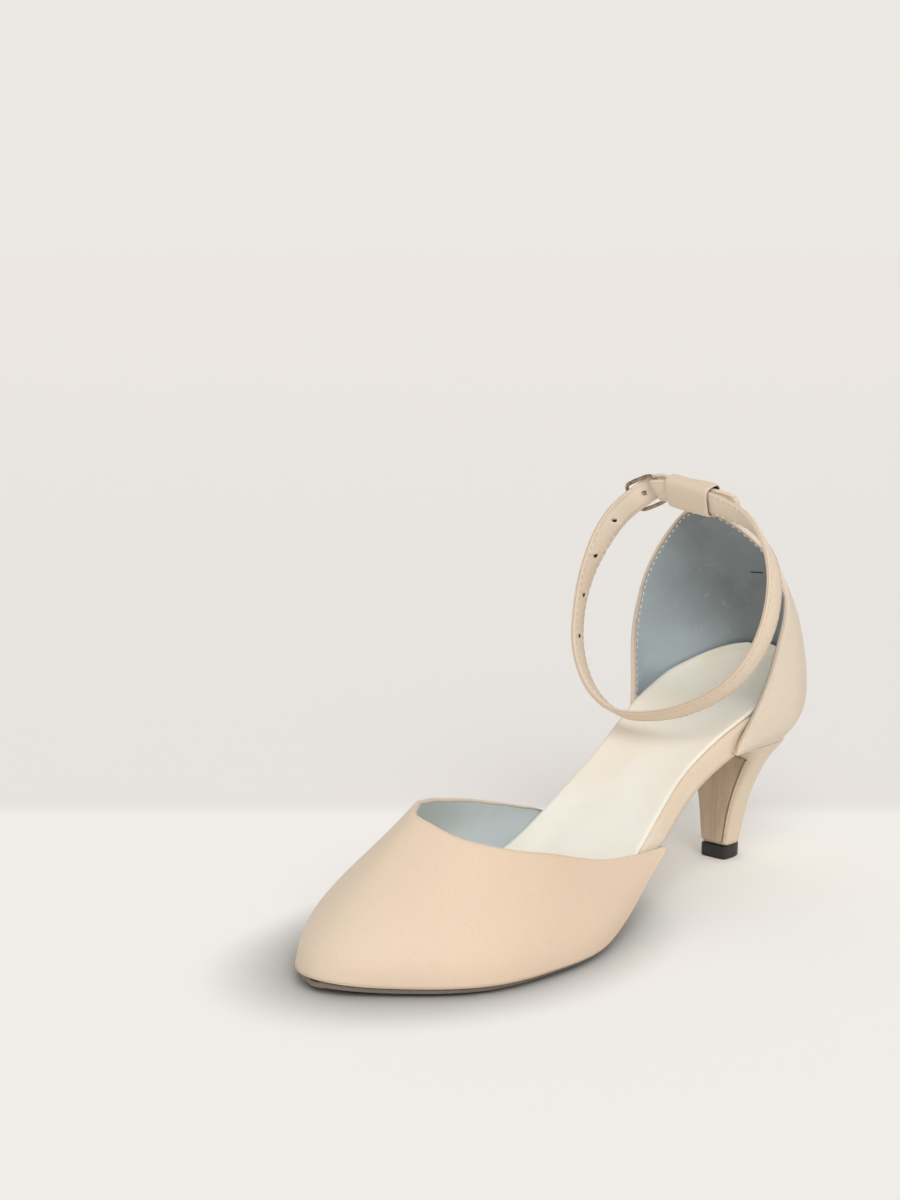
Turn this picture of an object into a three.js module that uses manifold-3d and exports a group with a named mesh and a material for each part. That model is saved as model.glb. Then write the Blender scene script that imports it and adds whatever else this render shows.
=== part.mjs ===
import * as THREE from 'three';
import Module from 'manifold-3d';

const wasm = await Module();
wasm.setup();

// Pencil heel shoe, left foot. X runs from heel to toe, Y to the outer side, Z up, all in mm.
// The origin is on the floor at the middle of the flat under the ball of the foot.

// Driving sizes
const shoeLength = 232;
const ballWidth = 77;
const seatRise = 50;
const throatRise = 46;
const counterRise = 121.8;
const outsoleThickness = 1.5;
const waistSoleThickness = 1.6;
const boardThickness = 3.2;
const waistBoardThickness = 7.4;
const sockThickness = 1.3;
const upperWall = 1.6;
const counterWall = 2.0;
const gap = 0.3;
const heelTipHeight = 4.9;
const seamRise = 0.87 * seatRise;
const strapWidth = 8;
const strapThickness = 1.7;
const ringWidth = 77.4;
const ringDrop = 71;
const loopLength = 17.4;
const loopWall = 1;
const buckleWire = 1.5;
const barWire = 1.3;
const holePitch = 14.1;

// Sole line: height of the outsole's underside at each place along the shoe.
// "at" is a share of shoeLength from the origin, "rise" a share of seatRise.
const soleLine = [
  { at: -0.690, rise: 0.972 },
  { at: -0.625, rise: 0.950 },
  { at: -0.560, rise: 0.922 },
  { at: -0.500, rise: 0.884 },
  { at: -0.457, rise: 0.830 },
  { at: -0.422, rise: 0.766 },
  { at: -0.375, rise: 0.660 },
  { at: -0.332, rise: 0.556 },
  { at: -0.289, rise: 0.448 },
  { at: -0.241, rise: 0.322 },
  { at: -0.198, rise: 0.212 },
  { at: -0.147, rise: 0.104 },
  { at: -0.095, rise: 0.030 },
  { at: -0.043, rise: 0 },
  { at: 0.095, rise: 0 },
  { at: 0.147, rise: 0.002 },
  { at: 0.207, rise: 0.010 },
  { at: 0.267, rise: 0.032 },
  { at: 0.312, rise: 0.074 },
];

// Outline of the upper where it meets the sole: middle line and half width, shares of ballWidth.
const outline = [
  { at: -0.690, mid: 0, half: 0.362 },
  { at: -0.640, mid: 0, half: 0.366 },
  { at: -0.582, mid: 0, half: 0.368 },
  { at: -0.526, mid: 0.004, half: 0.362 },
  { at: -0.474, mid: 0.008, half: 0.338 },
  { at: -0.422, mid: 0.014, half: 0.300 },
  { at: -0.362, mid: 0.026, half: 0.274 },
  { at: -0.302, mid: 0.047, half: 0.293 },
  { at: -0.241, mid: 0.066, half: 0.318 },
  { at: -0.181, mid: 0.066, half: 0.364 },
  { at: -0.125, mid: 0.058, half: 0.424 },
  { at: -0.060, mid: 0.049, half: 0.490 },
  { at: 0.004, mid: 0.040, half: 0.520 },
  { at: 0.065, mid: 0.036, half: 0.517 },
  { at: 0.125, mid: 0.038, half: 0.481 },
  { at: 0.164, mid: 0.032, half: 0.429 },
  { at: 0.190, mid: 0.020, half: 0.377 },
  { at: 0.228, mid: 0.003, half: 0.297 },
  { at: 0.276, mid: -0.005, half: 0.232 },
  { at: 0.312, mid: -0.006, half: 0.192 },
];
const toeEnd = 0.289;
const toeRound = 0.105;
const heelEnd = -0.673;
const heelRound = 0.112;

// Insole board: thickness as a share of waistBoardThickness, raised edge in mm on the outer and inner side.
const boardRows = [
  { at: -0.690, thick: 0.95, lateral: 15.0, medial: 15.0 },
  { at: -0.600, thick: 0.95, lateral: 8.8, medial: 7.4 },
  { at: -0.500, thick: 0.98, lateral: 3.4, medial: 1.8 },
  { at: -0.400, thick: 0.94, lateral: 1.4, medial: 1.1 },
  { at: -0.280, thick: 0.94, lateral: 1.2, medial: 1.0 },
  { at: -0.210, thick: 0.86, lateral: 1.2, medial: 0.6 },
  { at: -0.130, thick: 0.62, lateral: 0.8, medial: 0.4 },
  { at: -0.050, thick: 0.45, lateral: 0.3, medial: 0.3 },
  { at: 0.312, thick: 0.43, lateral: 0.2, medial: 0.2 },
];

// Slope-matched cubic through one column of a table
function column(rows, key, col, x) {
  const n = rows.length;
  if (x <= rows[0][key]) return rows[0][col];
  if (x >= rows[n - 1][key]) return rows[n - 1][col];
  let i = 0;
  while (x > rows[i + 1][key]) i += 1;
  const slope = (k) => (rows[k + 1][col] - rows[k][col]) / (rows[k + 1][key] - rows[k][key]);
  const tangent = (k) => {
    if (k === 0) return slope(0);
    if (k === n - 1) return slope(n - 2);
    const a = slope(k - 1);
    const b = slope(k);
    if (a * b <= 0) return 0;
    const ha = rows[k][key] - rows[k - 1][key];
    const hb = rows[k + 1][key] - rows[k][key];
    return 3 * (ha + hb) / ((2 * hb + ha) / a + (hb + 2 * ha) / b);
  };
  const h = rows[i + 1][key] - rows[i][key];
  const t = (x - rows[i][key]) / h;
  const y0 = rows[i][col];
  const y1 = rows[i + 1][col];
  const m0 = tangent(i) * h;
  const m1 = tangent(i + 1) * h;
  const t2 = t * t;
  const t3 = t2 * t;
  return (2 * t3 - 3 * t2 + 1) * y0 + (t3 - 2 * t2 + t) * m0 + (3 * t2 - 2 * t3) * y1 + (t3 - t2) * m1;
}

const smooth = THREE.MathUtils.smoothstep;
const roundEnd = (d, r) => (d >= r ? 1 : Math.sqrt(Math.max(0, 1 - (1 - d / r) ** 2)));

// Outline of the foot at a place along the shoe, drawn in by "inset"
function side(x, inset, which) {
  const at = x / shoeLength;
  const toe = roundEnd(toeEnd * shoeLength - inset - x, toeRound * shoeLength - inset);
  const heel = roundEnd(x - heelEnd * shoeLength - inset, heelRound * shoeLength - inset);
  const half = column(outline, 'at', 'half', at) * ballWidth - inset;
  const drawn = Math.max(half * toe * heel, 1.2);
  const mid = column(outline, 'at', 'mid', at) * ballWidth;
  return mid + which * drawn;
}

const soleRise = (x) => column(soleLine, 'at', 'rise', x / shoeLength) * seatRise;
const soleSlope = (x) => Math.atan((soleRise(x + 0.5) - soleRise(x - 0.5)));
const soleThickness = (x) => {
  const t = smooth(-x / shoeLength, 0.1, 0.26);
  return outsoleThickness + (waistSoleThickness - outsoleThickness) * t;
};
const boardBase = (x) => soleThickness(x) + gap;
const boardTop = (x) => {
  const full = waistBoardThickness * column(boardRows, 'at', 'thick', x / shoeLength);
  const fore = boardThickness;
  const t = smooth(-x / shoeLength, 0.03, 0.25);
  return boardBase(x) + fore + (full - fore) * t;
};

// The sole's edges stand a little off the floor: "s" runs from -1 to 1 across the foot
const soleCrown = 1.1;
const crown = (x, s) => {
  const at = x / shoeLength;
  const out = Math.max(0, Math.abs(s) - 0.34) / 0.66;
  return soleCrown * smooth(at, -0.2, -0.03) * (1 - 0.5 * smooth(at, 0.16, 0.25)) * out ** 3;
};

// A point lifted square to the sole line
function lifted(x, y, lift) {
  const a = soleSlope(x);
  return [x - Math.sin(a) * lift, y, soleRise(x) + Math.cos(a) * lift];
}

class Body {
  constructor() {
    this.points = [];
    this.faces = [];
  }

  add(p) {
    this.points.push(p[0], p[1], p[2]);
    return this.points.length / 3 - 1;
  }

  row(list) {
    return list.map((p) => this.add(p));
  }

  quad(a, b, c, d) {
    this.faces.push(a, b, c, a, c, d);
  }

  // Joins closed rings one after the other
  rings(rows) {
    for (let i = 0; i + 1 < rows.length; i += 1) {
      const n = rows[i].length;
      for (let j = 0; j < n; j += 1) {
        const k = (j + 1) % n;
        this.quad(rows[i][j], rows[i][k], rows[i + 1][k], rows[i + 1][j]);
      }
    }
  }

  // Closes a ring with a fan about its middle point
  cap(ring, up) {
    const n = ring.length;
    const m = [0, 0, 0];
    ring.forEach((i) => [0, 1, 2].forEach((c) => { m[c] += this.points[3 * i + c] / n; }));
    const o = this.add(m);
    for (let j = 0; j < n; j += 1) {
      const k = (j + 1) % n;
      if (up) this.faces.push(o, ring[j], ring[k]);
      else this.faces.push(o, ring[k], ring[j]);
    }
  }

  mesh(name, colour) {
    const g = new THREE.BufferGeometry();
    g.setAttribute('position', new THREE.Float32BufferAttribute(this.points, 3));
    g.setIndex(this.faces);
    g.computeVertexNormals();
    const m = new THREE.MeshStandardMaterial({ color: colour, roughness: 0.6 });
    const mesh = new THREE.Mesh(g, m);
    mesh.name = name;
    return mesh;
  }

  solid() {
    return new wasm.Manifold(new wasm.Mesh({
      numProp: 3,
      vertProperties: new Float32Array(this.points),
      triVerts: new Uint32Array(this.faces),
    }));
  }
}

// Evenly spaced points along a line of points
function even(line, count) {
  const at = [0];
  for (let i = 1; i < line.length; i += 1) {
    at.push(at[i - 1] + Math.hypot(...line[i].map((v, c) => v - line[i - 1][c])));
  }
  const total = at[at.length - 1];
  const out = [];
  let k = 0;
  for (let i = 0; i <= count; i += 1) {
    const want = (total * i) / count;
    while (k + 2 < at.length && at[k + 1] < want) k += 1;
    const t = (want - at[k]) / Math.max(at[k + 1] - at[k], 1e-9);
    out.push(line[k].map((v, c) => v + (line[k + 1][c] - v) * t));
  }
  return out;
}

// A smooth line through table rows, by share of the way
function curve(rows, place) {
  const out = [];
  for (let i = 0; i <= 240; i += 1) {
    const u = i / 240;
    out.push(place(...['x', 'y', 'z'].map((c) => column(rows, 'go', c, u))));
  }
  return out;
}

// The grid of a skin moved in by the wall
function inward(outer, wall) {
  const n = outer.length;
  const m = outer[0].length;
  const sub = (a, b) => [a[0] - b[0], a[1] - b[1], a[2] - b[2]];
  return outer.map((r, i) => r.map((p, j) => {
    const a = sub(outer[Math.min(i + 1, n - 1)][j], outer[Math.max(i - 1, 0)][j]);
    const b = sub(outer[i][Math.min(j + 1, m - 1)], outer[i][Math.max(j - 1, 0)]);
    const c = [a[1] * b[2] - a[2] * b[1], a[2] * b[0] - a[0] * b[2], a[0] * b[1] - a[1] * b[0]];
    const l = Math.hypot(...c) || 1;
    return p.map((v, k) => v - (c[k] / l) * wall);
  }));
}

// A hollow skin between an outer grid of points and an inner one
function skin(name, colour, outer, inner) {
  const n = outer.length;
  const m = outer[0].length;
  const body = new Body();
  const o = outer.map((r) => body.row(r));
  const q = inner.map((r) => body.row(r));
  for (let i = 0; i + 1 < n; i += 1) {
    for (let j = 0; j + 1 < m; j += 1) {
      body.quad(o[i][j], o[i + 1][j], o[i + 1][j + 1], o[i][j + 1]);
      body.quad(q[i][j], q[i][j + 1], q[i + 1][j + 1], q[i + 1][j]);
    }
    body.quad(o[i][0], q[i][0], q[i + 1][0], o[i + 1][0]);
    body.quad(o[i][m - 1], o[i + 1][m - 1], q[i + 1][m - 1], q[i][m - 1]);
  }
  for (let j = 0; j + 1 < m; j += 1) {
    body.quad(o[0][j], o[0][j + 1], q[0][j + 1], q[0][j]);
    body.quad(o[n - 1][j], q[n - 1][j], q[n - 1][j + 1], o[n - 1][j + 1]);
  }
  return body.mesh(name, colour);
}

const toeX = toeEnd * shoeLength;
const heelX = heelEnd * shoeLength;
const breastX = -0.437 * shoeLength;

// Counter: seam outline on the heel, a half width for each place, shares of ballWidth
const seamEnd = -0.625;
const seamRound = 0.088;
const seamRows = [
  { at: -0.650, half: 0.290 },
  { at: -0.600, half: 0.296 },
  { at: -0.548, half: 0.302 },
  { at: -0.496, half: 0.308 },
  { at: -0.459, half: 0.314 },
  { at: -0.437, half: 0.322 },
];
const innerFront = -0.459;
const seamSide = (x, inset) => {
  const end = roundEnd(x - seamEnd * shoeLength - inset, seamRound * shoeLength - inset);
  return Math.max((column(seamRows, 'at', 'half', x / shoeLength) * ballWidth - inset) * end, 1);
};

// Counter topline from the outer front corner over the top to the inner front corner.
// x is a share of shoeLength, y of ballWidth, z of the way from the seam to counterRise.
const counterLine = [
  { go: 0.000, x: -0.437, y: 0.322, z: 0.011 },
  { go: 0.110, x: -0.472, y: 0.352, z: 0.184 },
  { go: 0.230, x: -0.502, y: 0.382, z: 0.404 },
  { go: 0.340, x: -0.530, y: 0.374, z: 0.617 },
  { go: 0.420, x: -0.536, y: 0.284, z: 0.791 },
  { go: 0.462, x: -0.516, y: 0.160, z: 0.918 },
  { go: 0.482, x: -0.497, y: 0.085, z: 0.975 },
  { go: 0.500, x: -0.484, y: 0.000, z: 1.000 },
  { go: 0.518, x: -0.483, y: -0.080, z: 0.978 },
  { go: 0.540, x: -0.486, y: -0.150, z: 0.918 },
  { go: 0.580, x: -0.485, y: -0.250, z: 0.783 },
  { go: 0.660, x: -0.488, y: -0.337, z: 0.607 },
  { go: 0.770, x: -0.485, y: -0.374, z: 0.404 },
  { go: 0.890, x: -0.477, y: -0.352, z: 0.184 },
  { go: 1.000, x: -0.459, y: -0.314, z: 0.014 },
];

// How far the counter stands out from the straight line between seam and topline, in mm
const counterBulge = [
  { go: 0.00, back: 0, flank: 0 },
  { go: 0.05, back: 3.8, flank: 1.6 },
  { go: 0.09, back: 8.2, flank: 3.2 },
  { go: 0.13, back: 12.0, flank: 4.3 },
  { go: 0.20, back: 15.3, flank: 5.2 },
  { go: 0.38, back: 17.0, flank: 5.0 },
  { go: 0.60, back: 16.0, flank: 3.8 },
  { go: 0.80, back: 11.0, flank: 1.9 },
  { go: 1.00, back: 0, flank: 0 },
];

function counterGrid(columns, rows) {
  const half = (which) => {
    const line = [];
    for (let i = 0; i <= 200; i += 1) {
      const t = Math.sin((Math.PI / 2) * (i / 200));
      const front = which > 0 ? breastX : innerFront * shoeLength;
      const x = front + (seamEnd * shoeLength + 0.02 - front) * t;
      line.push([x, i === 200 ? 0 : which * seamSide(x, 0), 0]);
    }
    return even(line, columns / 2);
  };
  const foot = half(1).concat(half(-1).reverse().slice(1));
  const low = seamRise + gap;
  const place = (x, y, z) => [x * shoeLength, y * ballWidth, low + z * (counterRise - low)];
  const top = curve(counterLine, place);
  const edge = even(top.slice(0, 121), columns / 2).concat(even(top.slice(120), columns / 2).slice(1));
  const ease = [];
  for (let j = 0; j <= rows; j += 1) {
    const t = j / rows;
    ease.push(0.55 * t * t + 0.45 * t);
  }
  return foot.map((f, i) => {
    const share = 1 - Math.abs((2 * i) / columns - 1);
    const a = foot[Math.max(i - 1, 0)];
    const b = foot[Math.min(i + 1, columns)];
    const out = new THREE.Vector2(b[1] - a[1], a[0] - b[0]).normalize();
    const base = [f[0], f[1], low];
    const tall = (edge[i][2] - low) / (counterRise - low);
    const w = smooth(share, 0.5, 1);
    return ease.map((s) => {
      const push = column(counterBulge, 'go', 'back', s) * w
        + column(counterBulge, 'go', 'flank', s) * (1 - w) * Math.min(1, tall * 2);
      const move = [out.x * push, out.y * push, 0];
      return base.map((v, c) => v + (edge[i][c] - v) * s + move[c]);
    });
  });
}
const counterOuter = counterGrid(40, 12);
const counterInner = inward(counterOuter, counterWall);
const counter = skin('counter', 0xe6cdb2, counterOuter, counterInner);

// Vamp topline from the outer back corner over the throat to the inner back corner.
// x is a share of shoeLength, y of ballWidth, z the height over the board's base as a share of throatRise.
const vampLine = [
  { go: 0.000, x: -0.267, y: 0.356, z: 0.020 },
  { go: 0.120, x: -0.159, y: 0.394, z: 0.362 },
  { go: 0.272, x: -0.028, y: 0.406, z: 0.666 },
  { go: 0.373, x: 0.056, y: 0.344, z: 0.776 },
  { go: 0.452, x: 0.103, y: 0.190, z: 0.872 },
  { go: 0.500, x: 0.110, y: 0.040, z: 0.950 },
  { go: 0.562, x: 0.073, y: -0.072, z: 0.965 },
  { go: 0.635, x: 0.026, y: -0.182, z: 0.900 },
  { go: 0.715, x: -0.034, y: -0.273, z: 0.828 },
  { go: 0.805, x: -0.108, y: -0.331, z: 0.685 },
  { go: 0.890, x: -0.186, y: -0.344, z: 0.420 },
  { go: 0.935, x: -0.222, y: -0.312, z: 0.272 },
  { go: 0.970, x: -0.246, y: -0.287, z: 0.172 },
  { go: 1.000, x: -0.262, y: -0.270, z: 0.075 },
];

// Shape of a rib of the vamp, by its share of the way from a back corner (0) to the toe (1)
const vampRibs = [
  { go: 0.00, lean: 2, low: 0.30, high: 0.30, dip: 84 },
  { go: 0.25, lean: 8, low: 0.35, high: 0.34, dip: 70 },
  { go: 0.50, lean: 8, low: 0.33, high: 0.35, dip: 59 },
  { go: 0.75, lean: 5, low: 0.25, high: 0.34, dip: 49 },
  { go: 1.00, lean: 5, low: 0.18, high: 0.40, dip: 40 },
];
const vampCorner = -0.268;

function vampGrid(columns, rows) {
  const half = (which) => {
    const line = [];
    const tip = toeX - 0.02;
    for (let i = 0; i <= 200; i += 1) {
      const t = Math.sin((Math.PI / 2) * (i / 200));
      const x = vampCorner * shoeLength + (tip - vampCorner * shoeLength) * t;
      line.push([x, i === 200 ? (side(tip, 0, 1) + side(tip, 0, -1)) / 2 : side(x, 0, which), 0]);
    }
    return even(line, columns / 2);
  };
  const foot = half(1).concat(half(-1).reverse().slice(1));
  const place = (x, y, z) => {
    const at = x * shoeLength;
    return [at, y * ballWidth, soleRise(at) + boardBase(at) + z * throatRise];
  };
  const top = curve(vampLine, place);
  const edge = even(top.slice(0, 121), columns / 2).concat(even(top.slice(120), columns / 2).slice(1));
  return foot.map((f, i) => {
    const share = 1 - Math.abs((2 * i) / columns - 1);
    const a = foot[Math.max(i - 1, 0)];
    const b = foot[Math.min(i + 1, columns)];
    const out = new THREE.Vector2(b[1] - a[1], a[0] - b[0]).normalize().negate();
    const p0 = new THREE.Vector3(...lifted(f[0], f[1], boardBase(f[0]) + crown(f[0], 1)));
    const p3 = new THREE.Vector3(...edge[i]);
    const to = new THREE.Vector2(p0.x - p3.x, p0.y - p3.y);
    const w = smooth(share, 0.55, 1);
    const h = out.clone().multiplyScalar(1 - w);
    h.addScaledVector(to.lengthSq() > 1 ? to.normalize() : out, w).normalize();
    const span = p0.distanceTo(p3);
    const lean = THREE.MathUtils.degToRad(column(vampRibs, 'go', 'lean', share));
    const dip = THREE.MathUtils.degToRad(column(vampRibs, 'go', 'dip', share));
    const up = new THREE.Vector3(out.x * Math.sin(lean), out.y * Math.sin(lean), Math.cos(lean));
    const down = new THREE.Vector3(h.x * Math.cos(dip), h.y * Math.cos(dip), -Math.sin(dip));
    const p1 = p0.clone().addScaledVector(up, span * column(vampRibs, 'go', 'low', share));
    const p2 = p3.clone().addScaledVector(down, span * column(vampRibs, 'go', 'high', share));
    const rib = new THREE.CubicBezierCurve3(p0, p1, p2, p3);
    return even(rib.getPoints(60).map((p) => p.toArray()), rows);
  });
}
const vampOuter = vampGrid(48, 10).reverse();
const vampInner = inward(vampOuter, upperWall);
const vamp = skin('vamp', 0xe6cdb2, vampOuter, vampInner);

// Keeps a point inside a skin: drawn in toward the foot's middle where it stands too close to the wall.
// Between "from" and "to" it moves straight across, beyond them toward the nearer of the two.
function inside(p, wall, from, to, clear) {
  const ring = [];
  wall.forEach((rib, i) => {
    if (p[2] <= rib[0][2] && rib[rib.length - 1][2] > p[2]) {
      ring.push([rib[0][0], rib[0][1], i]);
      return;
    }
    for (let j = 0; j + 1 < rib.length; j += 1) {
      if (rib[j][2] <= p[2] && rib[j + 1][2] > p[2]) {
        const t = (p[2] - rib[j][2]) / (rib[j + 1][2] - rib[j][2]);
        ring.push([0, 1].map((c) => rib[j][c] + (rib[j + 1][c] - rib[j][c]) * t).concat(i));
        return;
      }
    }
  });
  const mx = THREE.MathUtils.clamp(p[0], from, to);
  const my = column(outline, 'at', 'mid', mx / shoeLength) * ballWidth;
  const dx = p[0] - mx;
  const dy = p[1] - my;
  const far = Math.hypot(dx, dy);
  if (far < 0.5) return p;
  let keep = 1;
  for (let i = 0; i + 1 < ring.length; i += 1) {
    const ex = ring[i + 1][0] - ring[i][0];
    const ey = ring[i + 1][1] - ring[i][1];
    const det = dx * ey - dy * ex;
    if (Math.abs(det) < 1e-9 || ring[i + 1][2] - ring[i][2] > 1) continue;
    const ax = ring[i][0] - mx;
    const ay = ring[i][1] - my;
    const t = (ax * ey - ay * ex) / det;
    const u = (ax * dy - ay * dx) / det;
    if (t > 0 && u >= -0.02 && u <= 1.02) keep = Math.min(keep, t - clear / far);
  }
  return [mx + dx * keep, my + dy * keep, p[2]];
}

const fitted = (p, clear) => inside(
  inside(p, counterInner, -0.53 * shoeLength, 0, clear),
  vampInner, -0.3 * shoeLength, 0.15 * shoeLength, clear,
);

// A flat layer of the sole: rings of points across the foot, one ring per station
function layer(name, colour, stations, across, bottom, top, inset, clear) {
  const back = (x) => smooth(-x / shoeLength, 0.58, 0.65);
  const body = new Body();
  const rows = stations.map((x) => {
    const left = side(x, inset(x), 1);
    const right = side(x, inset(x), -1);
    const low = [];
    const high = [];
    for (let k = 0; k <= across; k += 1) {
      const s = -1 + (2 * k) / across;
      const y = right + ((left - right) * (s + 1)) / 2;
      const a = lifted(x, y, bottom(x, s) + crown(x, s));
      const b = lifted(x, y, top(x, s) + crown(x, s));
      low.push(clear ? fitted(a, clear[0]) : a);
      high.push(clear ? fitted(b, clear[0] + clear[1] * back(x)) : b);
    }
    return body.row(low.concat(high.reverse()));
  });
  const n = across + 1;
  for (let i = 0; i + 1 < rows.length; i += 1) {
    for (let j = 0; j < 2 * n; j += 1) {
      const k = (j + 1) % (2 * n);
      body.quad(rows[i][j], rows[i][k], rows[i + 1][k], rows[i + 1][j]);
    }
  }
  const first = rows[0];
  const last = rows[rows.length - 1];
  for (let k = 0; k < across; k += 1) {
    const t = 2 * n - 1 - k;
    body.quad(first[k], first[t], first[t - 1], first[k + 1]);
    body.quad(last[k + 1], last[t - 1], last[t], last[k]);
  }
  return body.mesh(name, colour);
}

// Stations from one end to the other, closer together at a round end
function stations(from, to, count, roundFrom, roundTo) {
  const list = [];
  for (let i = 0; i <= count; i += 1) {
    let t = i / count;
    if (roundFrom && roundTo) t = 0.5 - 0.5 * Math.cos(Math.PI * t);
    else if (roundFrom) t = 1 - Math.cos((Math.PI / 2) * t);
    else if (roundTo) t = Math.sin((Math.PI / 2) * t);
    list.push(from + (to - from) * t);
  }
  return list;
}

// Outsole: thin, set back under the upper, flat under the ball, ending at the heel's front lip
const soleInset = (x) => 2.0 + 2.4 * smooth(-x / shoeLength, 0.2, 0.3) + 3 * smooth(-x / shoeLength, 0.38, 0.43);
const outsole = layer('outsole', 0x2a221e, stations(breastX + 3.4, toeX - 2.2, 28, false, true), 6,
  () => 0, (x) => soleThickness(x), soleInset, null);

// Insole board: fills the upper's inside at the ball and shows its covered edge along the waist
const boardInset = (x) => {
  const rear = smooth(-x / shoeLength, 0.39, 0.435);
  return upperWall + gap + 0.1 + rear * (counterWall - upperWall + 0.5);
};
const edgeLift = (x, s) => {
  const col = s > 0 ? 'lateral' : 'medial';
  const end = smooth(-x / shoeLength, 0.58, 0.675);
  return column(boardRows, 'at', col, x / shoeLength) * (1 - (1 - Math.abs(s) ** 2.2) * (1 - end));
};
const board = layer('insole_board', 0xdcc3a5, stations(heelX + 3.6, toeX - 3.2, 38, true, true), 8,
  (x) => boardBase(x), (x, s) => boardTop(x) + edgeLift(x, s), boardInset, [gap + 0.2, 0]);

// Sock: smooth sheet on the board, following its raised edge
const sockInset = (x) => boardInset(x) + 0.6;
const sock = layer('sock', 0xf4ecdc, stations(heelX + 3.9, toeX - 3.9, 38, true, true), 8,
  (x, s) => boardTop(x) + gap + edgeLift(x, s), (x, s) => boardTop(x) + gap + sockThickness + edgeLift(x, s),
  sockInset, [gap + 0.55, 0.9]);

// Heel: rings from the tip up to the rim under the counter. "go" is the way from tip to seam, x a share
// of shoeLength, half width a share of ballWidth; square is how boxy the front corners are.
const heelRows = [
  { go: 0.000, front: -0.5295, back: -0.5755, half: 0.069, square: 0.30 },
  { go: 0.327, front: -0.5315, back: -0.5870, half: 0.094, square: 0.30 },
  { go: 0.518, front: -0.5345, back: -0.5935, half: 0.122, square: 0.32 },
  { go: 0.719, front: -0.5345, back: -0.6040, half: 0.168, square: 0.34 },
  { go: 0.843, front: -0.5280, back: -0.6100, half: 0.212, square: 0.40 },
  { go: 0.933, front: -0.5020, back: -0.6200, half: 0.264, square: 0.46 },
  { go: 0.983, front: -0.4500, back: -0.6250, half: 0.300, square: 0.50 },
];
const heelAround = 30;

// One closed ring of the heel at a height, seen from above: boxy front, round back
function heelRing(frontX, backX, half, square, z) {
  const mid = frontX - (frontX - backX) * 0.42;
  const ring = [];
  for (let k = 0; k < heelAround; k += 1) {
    const a = (2 * Math.PI * k) / heelAround;
    const c = Math.cos(a);
    const s = Math.sin(a);
    const x = c > 0 ? mid + (frontX - mid) * c ** square : mid - (mid - backX) * Math.abs(c) ** 0.9;
    ring.push([x, half * Math.sign(s) * Math.abs(s) ** (c > 0 ? square : 1), z]);
  }
  return ring;
}

// The rim ring follows the seam outline, drawn in by "inset"
function rimRing(inset, z) {
  const ring = [];
  const front = breastX - 0.6 - inset * 0.3;
  const back = seamEnd * shoeLength + inset;
  for (let k = 0; k < heelAround; k += 1) {
    const a = (2 * Math.PI * k) / heelAround;
    const mid = front - (front - back) * 0.42;
    const c = Math.cos(a);
    const s = Math.abs(Math.sin(a)) < 1e-9 ? 0 : Math.sin(a);
    const x = c > 0 ? mid + (front - mid) * c ** 0.5 : mid - (mid - back) * Math.abs(c) ** 0.9;
    const edge = seamSide(Math.max(x, back + 0.01), inset) * Math.sign(s);
    ring.push([x, c > 0.02 ? edge * Math.abs(s) ** 0.5 : edge, z(x)]);
  }
  return ring;
}

const heelPlace = (go) => {
  const f = (c) => column(heelRows, 'go', c, go);
  return [f('front') * shoeLength, f('back') * shoeLength, f('half') * ballWidth, f('square')];
};
const heelHeight = (go) => heelTipHeight + go * (seamRise - heelTipHeight);
const seatZ = (x) => soleRise(x) + (boardBase(x) - gap) / Math.cos(soleSlope(x));
const under = (x) => Math.min(seamRise, seatZ(x) - 0.05);
const heelBody = new Body();
const heelRings = [];
for (let i = 0; i <= 12; i += 1) {
  const go = heelRows[6].go * (1 - (1 - i / 12) ** 1.5);
  heelRings.push(heelRing(...heelPlace(go), heelHeight(go)));
}
heelRings.push(rimRing(0, (x) => Math.min(seamRise - 0.4, seatZ(x) - 0.45)));
heelRings.push(rimRing(0, under));
heelRings.push(rimRing(counterWall + 0.45, under));
heelRings.push(rimRing(counterWall + 0.6, (x) => Math.max(seatZ(x), under(x) + 0.02)));
const heelIds = heelRings.map((r) => heelBody.row(r));
heelBody.rings(heelIds);
heelBody.cap(heelIds[0], false);
heelBody.cap(heelIds[heelIds.length - 1], true);
const heel = heelBody.mesh('heel', 0xdfc6a9);

// Breast cover: thin panel on the heel's front face, its top edge in two scallops
const coverThickness = 0.7;
const coverReach = 0.86;
function coverPoint(go, share, out) {
  const [front, back, half, square] = heelPlace(go);
  const mid = front - (front - back) * 0.42;
  const s = Math.abs(share) ** (1 / square);
  const x = mid + (front - mid) * Math.sqrt(1 - s * s) ** square;
  return [x + out, half * share, heelHeight(go)];
}
const coverOuter = [];
const coverInner = [];
for (let j = 0; j <= 6; j += 1) {
  const share = coverReach * (1 - j / 3);
  const top = 0.80 + 0.05 * Math.abs(Math.sin(Math.PI * (j / 3)));
  const rows = [0, 1, 2, 3, 4, 5, 6].map((i) => 0.03 + (top - 0.03) * (i / 6));
  coverOuter.push(rows.map((go) => coverPoint(go, share, gap + 0.05 + coverThickness)));
  coverInner.push(rows.map((go) => coverPoint(go, share, gap + 0.05)));
}
const cover = skin('heel_breast_cover', 0xe2c9ad, coverOuter.reverse(), coverInner.reverse());

// Heel tip: the dark block the heel stands on
const tipBody = new Body();
const tipRing = (z, grow) => {
  const [front, back, half, square] = heelPlace(0);
  return heelRing(front + 0.8 + grow, back - grow, half + grow, square, z);
};
const tipTop = heelTipHeight - gap;
const tipIds = [tipRing(0, -0.25), tipRing(0.5, 0), tipRing(tipTop - 0.5, 0.05), tipRing(tipTop, -0.1)]
  .map((r) => tipBody.row(r));
tipBody.rings(tipIds);
tipBody.cap(tipIds[0], false);
tipBody.cap(tipIds[3], true);
const tip = tipBody.mesh('heel_tip', 0x1d1a19);

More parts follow.
